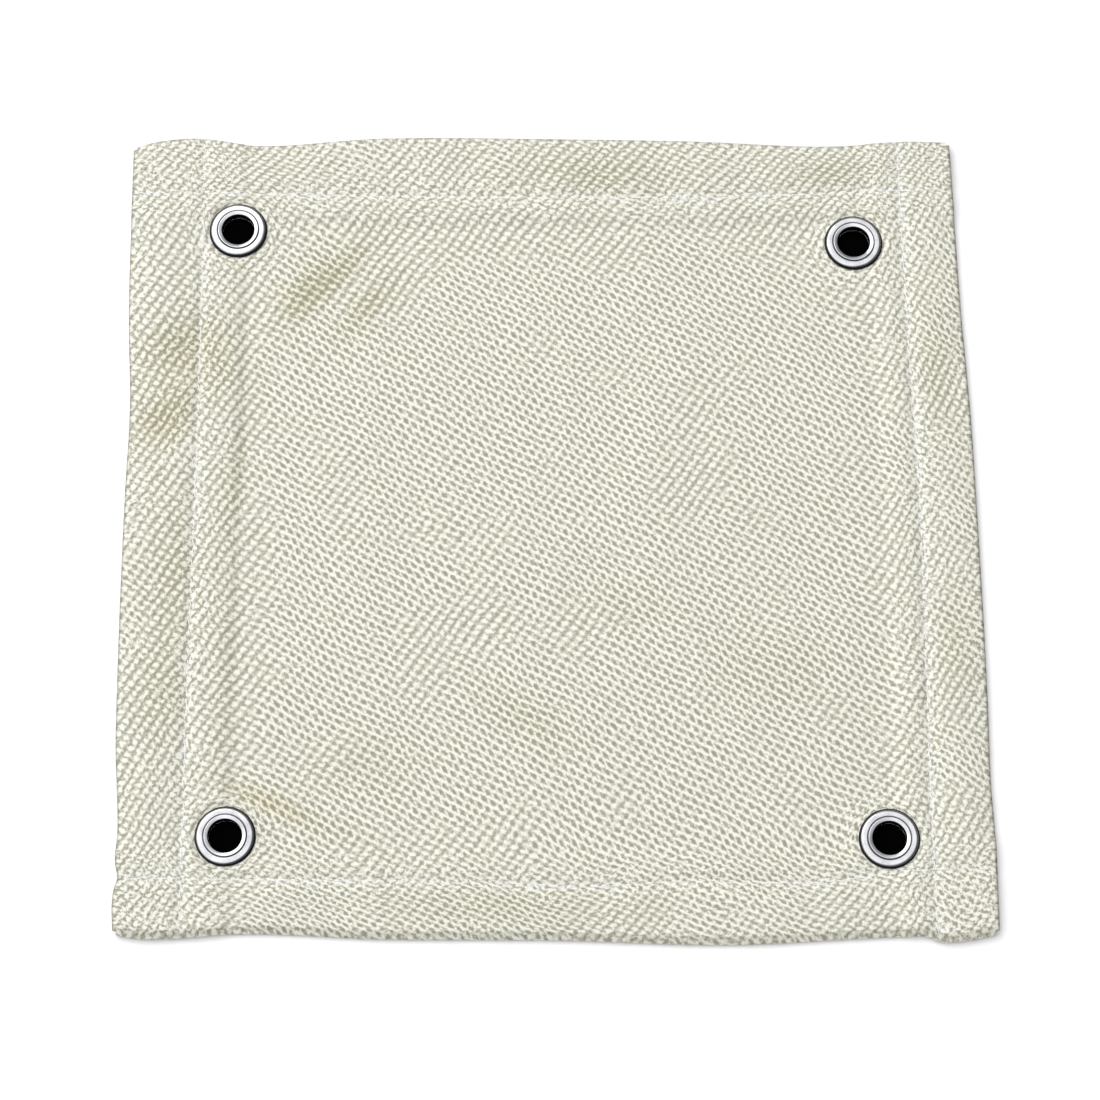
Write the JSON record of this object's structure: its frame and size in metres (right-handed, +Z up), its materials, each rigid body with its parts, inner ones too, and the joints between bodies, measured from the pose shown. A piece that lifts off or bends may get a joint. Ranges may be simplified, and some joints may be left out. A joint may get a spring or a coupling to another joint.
{
  "type": "fire blanket",
  "caption": "Small square fire blanket of hemmed off-white woven glass cloth with a plated metal eyelet in each corner, folding in half.",
  "frame": {"origin": "the point on the resting surface under the middle of the blanket as it lies open and flat, on the fold line", "axes": "+X across the blanket at right angles to the fold, from the left half to the right half, +Y along the fold towards the far hem, +Z up out of the face that shows the washers"},
  "size_m": [0.305, 0.301, 0.0039],
  "materials": {
    "glass_cloth": "off-white twill of thick glass yarn, matt with a faint sheen on the yarns",
    "sewing_thread": "white twisted sewing thread",
    "plated_metal": "bright nickel plate"
  },
  "bodies": {
    "right_half": {"cloth_right_half": "glass_cloth", "needle_thread_right_seam": "sewing_thread", "needle_thread_far_seam_right": "sewing_thread", "needle_thread_near_seam_right": "sewing_thread", "bobbin_thread_right_seam": "sewing_thread", "bobbin_thread_far_seam_right": "sewing_thread", "bobbin_thread_near_seam_right": "sewing_thread", "grommet_far_right": "plated_metal", "grommet_near_right": "plated_metal", "washer_far_right": "plated_metal", "washer_near_right": "plated_metal"},
    "left_half": {"cloth_left_half": "glass_cloth", "needle_thread_left_seam": "sewing_thread", "needle_thread_far_seam_left": "sewing_thread", "needle_thread_near_seam_left": "sewing_thread", "bobbin_thread_left_seam": "sewing_thread", "bobbin_thread_far_seam_left": "sewing_thread", "bobbin_thread_near_seam_left": "sewing_thread", "grommet_far_left": "plated_metal", "grommet_near_left": "plated_metal", "washer_far_left": "plated_metal", "washer_near_left": "plated_metal"}
  },
  "joints": [
    {"name": "fold_in_half", "type": "hinge", "parent": "right_half", "child": "left_half", "pos_m": [0, 0, 0.0043], "axis": [0, 1, 0], "range_deg": [0, 180]}
  ]
}
